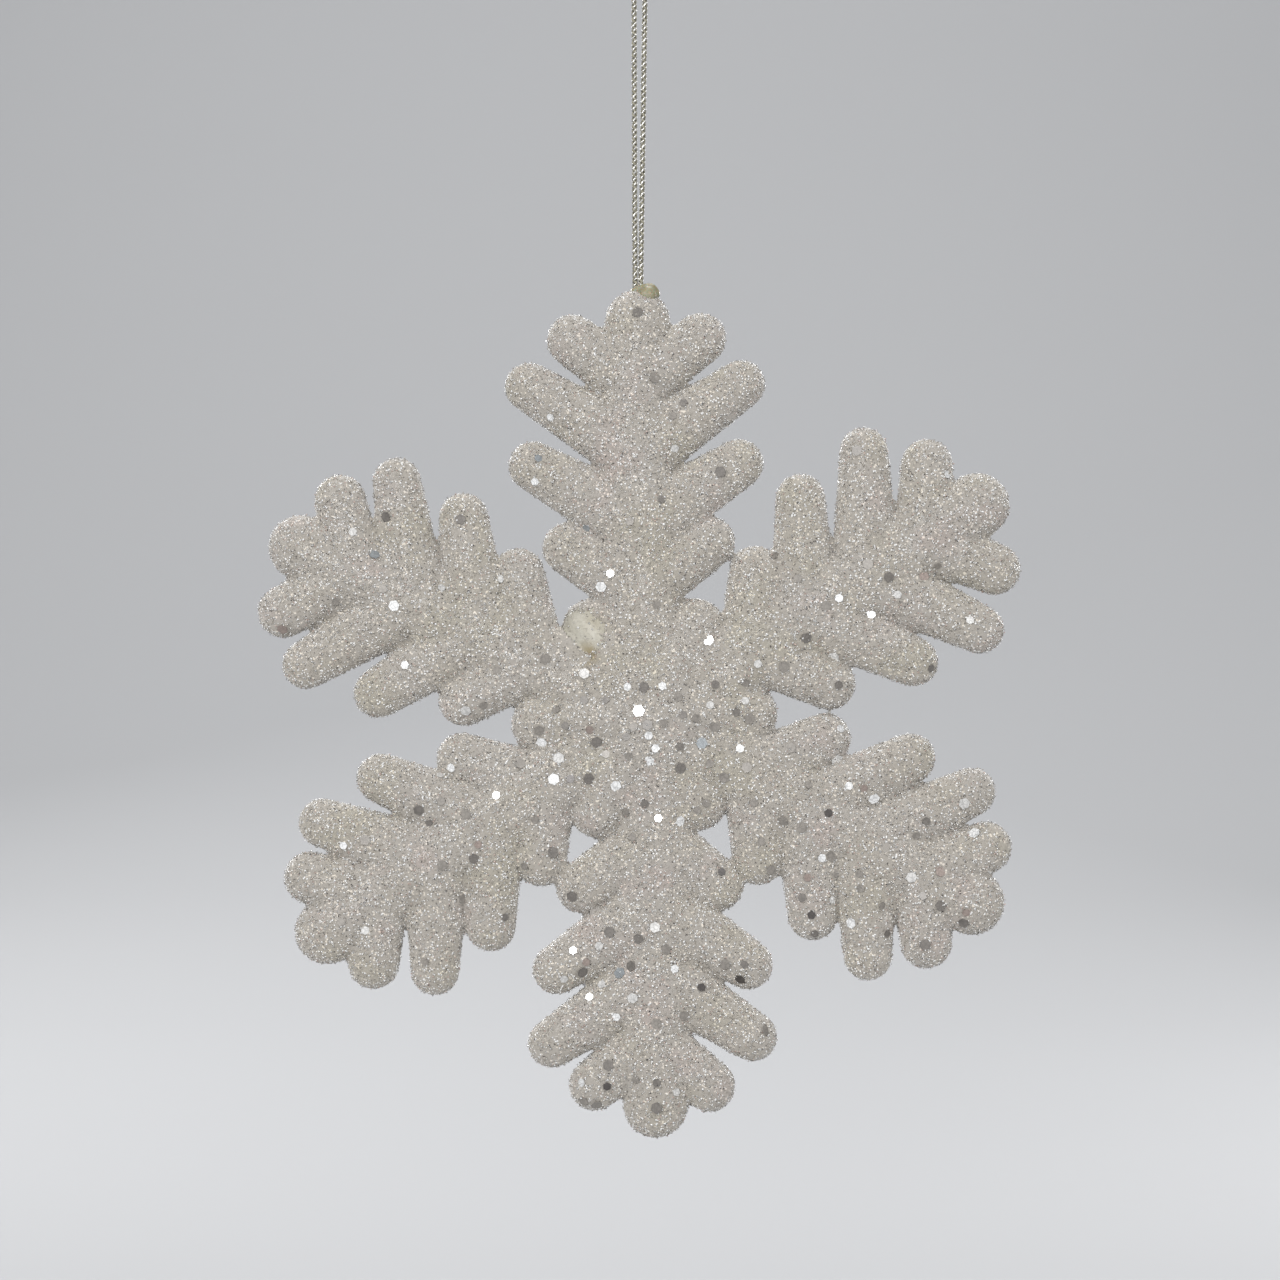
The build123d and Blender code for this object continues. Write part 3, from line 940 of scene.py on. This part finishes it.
def area_light(name, place, size, brightness, target):
    """An unseen square light that gives its target the same brightness from any distance."""
    light = bpy.data.lights.new(name, "AREA")
    light.size = size
    away = Vector(target) - Vector(place)
    light.energy = brightness * math.pi * away.length_squared
    obj = bpy.data.objects.new(name, light)
    obj.location = place
    obj.rotation_euler = away.to_track_quat("-Z", "Y").to_euler()
    obj.visible_camera = False
    bpy.context.scene.collection.objects.link(obj)


def light_and_camera():
    """Lights of the picture and of the sides it doesn't show, and the camera that took it."""
    middle = HUB * MM
    # several lights all round, so that the glitter sparkles from any side
    area_light("front", (-0.16, -1.1, 0.05), 0.3, 1.05, middle)
    area_light("upper_left", (-0.55, -0.9, 0.45), 0.3, 0.80, middle)
    area_light("upper_right", (0.50, -0.9, 0.35), 0.3, 0.55, middle)
    area_light("left", (-1.0, -0.7, 0.1), 0.4, 0.25, middle)
    area_light("right", (1.0, -0.7, 0.1), 0.4, 0.25, middle)
    area_light("top", (0.0, -0.5, 0.9), 0.4, 0.40, middle)
    area_light("back_left", (-0.5, 0.9, 0.3), 0.3, 0.85, middle)
    area_light("back_right", (0.6, 0.8, 0.1), 0.3, 0.7, middle)
    area_light("back_top", (0.1, 0.6, 1.0), 0.9, 0.8, middle)
    area_light("wall", (0.0, 0.9, 1.3), 1.0, 1.2, (0.0, 2.2, 0.2))
    world = bpy.data.worlds.new("studio")
    world.use_nodes = True
    world.node_tree.nodes["Background"].inputs["Color"].default_value = (0.80, 0.81, 0.83, 1)
    world.node_tree.nodes["Background"].inputs["Strength"].default_value = 0.42
    bpy.context.scene.world = world
    bpy.context.scene.view_settings.view_transform = "Standard"

    camera = bpy.data.cameras.new("camera")
    distance = 0.62
    across, up, half_view = -1.45, 13.3, 113.35
    camera.sensor_width = 36.0
    camera.lens = 18.0 * distance / (half_view * MM)
    holder = bpy.data.objects.new("camera", camera)
    holder.location = (middle[0] + across * MM, -distance, middle[2] + up * MM)
    holder.rotation_euler = (math.pi / 2, 0, 0)
    bpy.context.scene.collection.objects.link(holder)
    bpy.context.scene.camera = holder


light_and_camera()
make_cord()
skin = whole_skin()
make_coats(skin)
flake_points, flake_corners = make_flakes(skin)
make_grains(skin, flake_points, flake_corners)
make_glue()
make_smears(skin)
bpy.data.objects.remove(skin)
stage()
